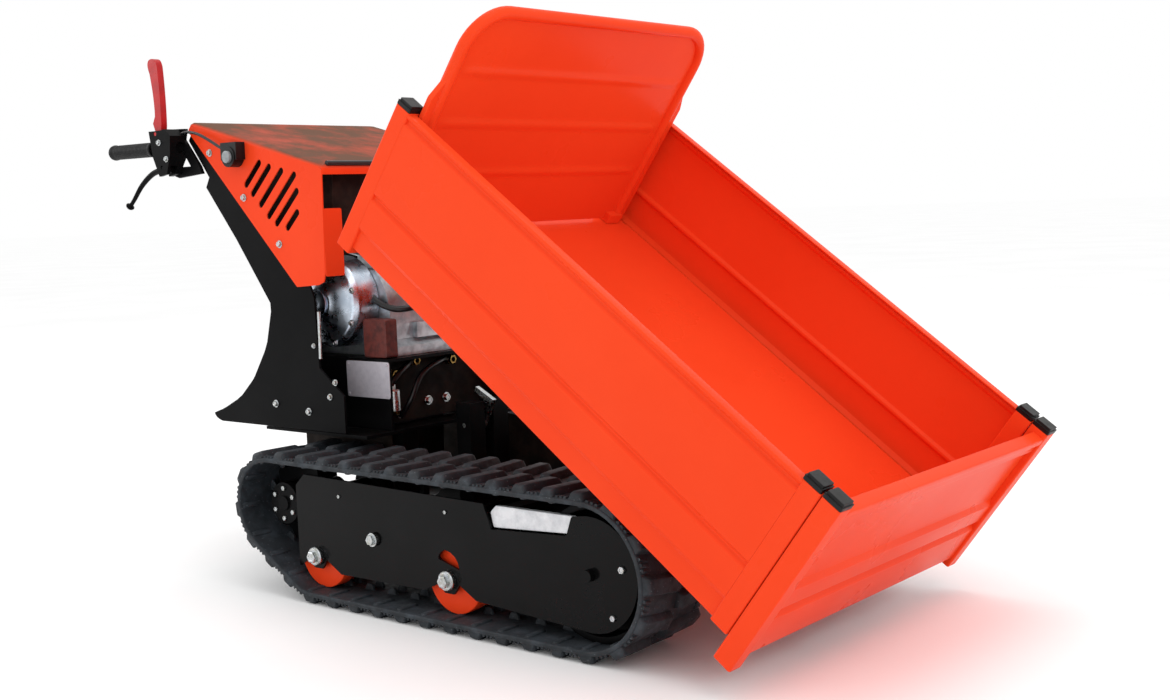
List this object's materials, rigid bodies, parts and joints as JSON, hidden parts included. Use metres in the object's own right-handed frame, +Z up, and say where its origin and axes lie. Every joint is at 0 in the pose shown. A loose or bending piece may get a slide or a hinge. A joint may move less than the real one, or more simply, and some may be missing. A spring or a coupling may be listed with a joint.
{
  "type": "power wheelbarrow",
  "caption": "Walk-behind tracked power barrow with a tipping, extendable steel tub, a louvred hood on a black column, twin lever handles and rubber crawler tracks.",
  "frame": {"origin": "on the ground, in the middle of the machine's overall length and width, with the tub tipped", "axes": "+X forward, the way the tub tips; +Y to the operator's left; +Z up"},
  "size_m": [1.8042, 0.733, 1.0423],
  "materials": {
    "orange_paint": "gloss orange-red powder coat",
    "black_paint": "satin black powder coat",
    "track_rubber": "matt moulded rubber",
    "grip_rubber": "matt grip rubber",
    "belt_rubber": "V belt",
    "zinc_steel": "zinc-plated steel",
    "cast_alloy": "die-cast aluminium",
    "black_plastic": "moulded black plastic",
    "cable_sheath": "extruded cable sheath",
    "red_lever": "red plastic-coated steel",
    "grey_pulley": "turned cast iron",
    "tank_plastic": "blow-moulded fuel tank",
    "button_grey": "moulded grey plastic",
    "fan_plastic": "moulded shroud"
  },
  "bodies": {
    "chassis": {"chassis_frame": "black_paint", "hinge_pin": "zinc_steel", "engine_bench": "black_paint", "rear_shield": "black_paint", "column_brace": "black_paint", "column_plate_right": "black_paint", "column_plate_left": "black_paint", "track_belt_right": "track_rubber", "track_belt_left": "track_rubber", "track_beam_right": "black_paint", "track_beam_left": "black_paint", "track_side_plate_right": "black_paint", "track_side_plate_left": "black_paint", "gearbox": "cast_alloy", "drive_belt": "belt_rubber", "engine_crankcase": "cast_alloy", "engine_cylinder": "cast_alloy", "fan_cover": "fan_plastic", "fuel_tank": "tank_plastic", "muffler": "zinc_steel", "air_cleaner": "black_plastic", "hood": "orange_paint", "handle_bar_right": "black_paint", "handle_bar_left": "black_paint", "grip_right": "grip_rubber", "grip_left": "grip_rubber", "lever_bracket_right": "black_paint", "lever_bracket_left": "black_paint", "stop_switch": "black_plastic", "stop_cable": "cable_sheath"},
    "tub": {"tub_floor": "orange_paint", "headboard_frame": "orange_paint", "headboard_sheet": "orange_paint"},
    "front_wall": {"front_panel": "orange_paint", "front_panel_cap_right": "black_plastic", "front_panel_cap_left": "black_plastic"},
    "latch": {"tip_latch": "zinc_steel"},
    "clutch": {"clutch_lever": "red_lever"},
    "tensioner": {"tensioner_arm": "zinc_steel"},
    "jockey": {"jockey_pulley": "grey_pulley"},
    "gear_shift": {"gear_lever": "black_paint"},
    "stop_plunger": {"stop_button": "button_grey"},
    "input_pulley": {"gearbox_pulley": "grey_pulley"},
    "crank_pulley": {"engine_pulley": "grey_pulley"},
    "side_wall_right": {"side_panel_right": "orange_paint", "post_cap_rear_right": "black_plastic", "post_cap_front_right": "black_plastic"},
    "steering_right": {"steering_lever_right": "black_paint"},
    "sprocket_right": {"drive_sprocket_right": "black_paint"},
    "idler_right": {"front_idler_right": "orange_paint"},
    "roller_rear_right": {"road_roller_rear_right": "orange_paint"},
    "roller_middle_right": {"road_roller_middle_right": "orange_paint"},
    "side_wall_left": {"side_panel_left": "orange_paint", "post_cap_rear_left": "black_plastic", "post_cap_front_left": "black_plastic"},
    "steering_left": {"steering_lever_left": "black_paint"},
    "sprocket_left": {"drive_sprocket_left": "black_paint"},
    "idler_left": {"front_idler_left": "orange_paint"},
    "roller_rear_left": {"road_roller_rear_left": "orange_paint"},
    "roller_middle_left": {"road_roller_middle_left": "orange_paint"}
  },
  "joints": [
    {"name": "tip_hinge", "type": "hinge", "parent": "chassis", "child": "tub", "pos_m": [0.38021, 0, 0.36691], "axis": [0, 1, 0], "range_deg": [-36.4, 0]},
    {"name": "side_wall_right_slide", "type": "slide", "parent": "tub", "child": "side_wall_right", "axis": [0, -1, 0], "range_m": [0, 0.12]},
    {"name": "side_wall_left_slide", "type": "slide", "parent": "tub", "child": "side_wall_left", "axis": [0, 1, 0], "range_m": [0, 0.12]},
    {"name": "front_wall_slide", "type": "slide", "parent": "tub", "child": "front_wall", "axis": [0.8049, 0, -0.5934], "range_m": [0, 0.07]},
    {"name": "latch_hinge", "type": "hinge", "parent": "chassis", "child": "latch", "pos_m": [-0.10209, 0, 0.302], "axis": [0, 1, 0], "range_deg": [-28, 0]},
    {"name": "clutch_lever_hinge", "type": "hinge", "parent": "chassis", "child": "clutch", "pos_m": [-0.71009, -0.269, 0.89], "axis": [0, 1, 0], "range_deg": [-70, 0], "stiffness_Nm_per_rad": 3, "springref_deg": 6.88},
    {"name": "tensioner_hinge", "type": "hinge", "parent": "chassis", "child": "tensioner", "pos_m": [-0.42809, 0.18, 0.42], "axis": [0, 1, 0], "range_deg": [0, 22]},
    {"name": "jockey_spin", "type": "hinge", "parent": "tensioner", "child": "jockey", "pos_m": [-0.42809, 0.195, 0.486], "axis": [0, 1, 0], "continuous": true},
    {"name": "steering_lever_right_hinge", "type": "hinge", "parent": "chassis", "child": "steering_right", "pos_m": [-0.69409, -0.269, 0.822], "axis": [0, 1, 0], "range_deg": [0, 22], "stiffness_Nm_per_rad": 4, "springref_deg": -8.59},
    {"name": "steering_lever_left_hinge", "type": "hinge", "parent": "chassis", "child": "steering_left", "pos_m": [-0.69409, 0.269, 0.822], "axis": [0, 1, 0], "range_deg": [0, 22], "stiffness_Nm_per_rad": 4, "springref_deg": -8.59},
    {"name": "gear_lever_hinge", "type": "hinge", "parent": "chassis", "child": "gear_shift", "pos_m": [-0.49809, 0.06, 0.655], "axis": [0, 1, 0], "range_deg": [-15, 15]},
    {"name": "stop_button_slide", "type": "slide", "parent": "chassis", "child": "stop_plunger", "axis": [0, 1, 0], "range_m": [0, 0.004], "stiffness_N_per_m": 900, "springref_m": -0.001},
    {"name": "sprocket_right_spin", "type": "hinge", "parent": "chassis", "child": "sprocket_right", "pos_m": [-0.34109, -0.255, 0.172], "axis": [0, 1, 0], "continuous": true},
    {"name": "idler_right_spin", "type": "hinge", "parent": "chassis", "child": "idler_right", "pos_m": [0.41891, -0.255, 0.137], "axis": [0, 1, 0], "continuous": true},
    {"name": "roller_rear_right_spin", "type": "hinge", "parent": "chassis", "child": "roller_rear_right", "pos_m": [-0.23609, -0.255, 0.086], "axis": [0, 1, 0], "continuous": true},
    {"name": "roller_middle_right_spin", "type": "hinge", "parent": "chassis", "child": "roller_middle_right", "pos_m": [0.10491, -0.255, 0.086], "axis": [0, 1, 0], "continuous": true},
    {"name": "sprocket_left_spin", "type": "hinge", "parent": "chassis", "child": "sprocket_left", "pos_m": [-0.34109, 0.255, 0.172], "axis": [0, 1, 0], "continuous": true},
    {"name": "idler_left_spin", "type": "hinge", "parent": "chassis", "child": "idler_left", "pos_m": [0.41891, 0.255, 0.137], "axis": [0, 1, 0], "continuous": true},
    {"name": "roller_rear_left_spin", "type": "hinge", "parent": "chassis", "child": "roller_rear_left", "pos_m": [-0.23609, 0.255, 0.086], "axis": [0, 1, 0], "continuous": true},
    {"name": "roller_middle_left_spin", "type": "hinge", "parent": "chassis", "child": "roller_middle_left", "pos_m": [0.10491, 0.255, 0.086], "axis": [0, 1, 0], "continuous": true},
    {"name": "input_pulley_spin", "type": "hinge", "parent": "chassis", "child": "input_pulley", "pos_m": [-0.31309, 0.195, 0.385], "axis": [0, 1, 0], "continuous": true},
    {"name": "crank_pulley_spin", "type": "hinge", "parent": "chassis", "child": "crank_pulley", "pos_m": [-0.33809, 0.195, 0.545], "axis": [0, 1, 0], "continuous": true}
  ],
  "couplings": [
    {"joint": "tensioner_hinge", "follows": "clutch_lever_hinge", "ratio": -0.3142},
    {"joint": "idler_right_spin", "follows": "sprocket_right_spin", "ratio": 0.7304},
    {"joint": "roller_rear_right_spin", "follows": "sprocket_right_spin", "ratio": 1.3125},
    {"joint": "roller_middle_right_spin", "follows": "sprocket_right_spin", "ratio": 1.3125},
    {"joint": "idler_left_spin", "follows": "sprocket_left_spin", "ratio": 0.7304},
    {"joint": "roller_rear_left_spin", "follows": "sprocket_left_spin", "ratio": 1.3125},
    {"joint": "roller_middle_left_spin", "follows": "sprocket_left_spin", "ratio": 1.3125},
    {"joint": "crank_pulley_spin", "follows": "input_pulley_spin", "ratio": 1.8462}
  ]
}
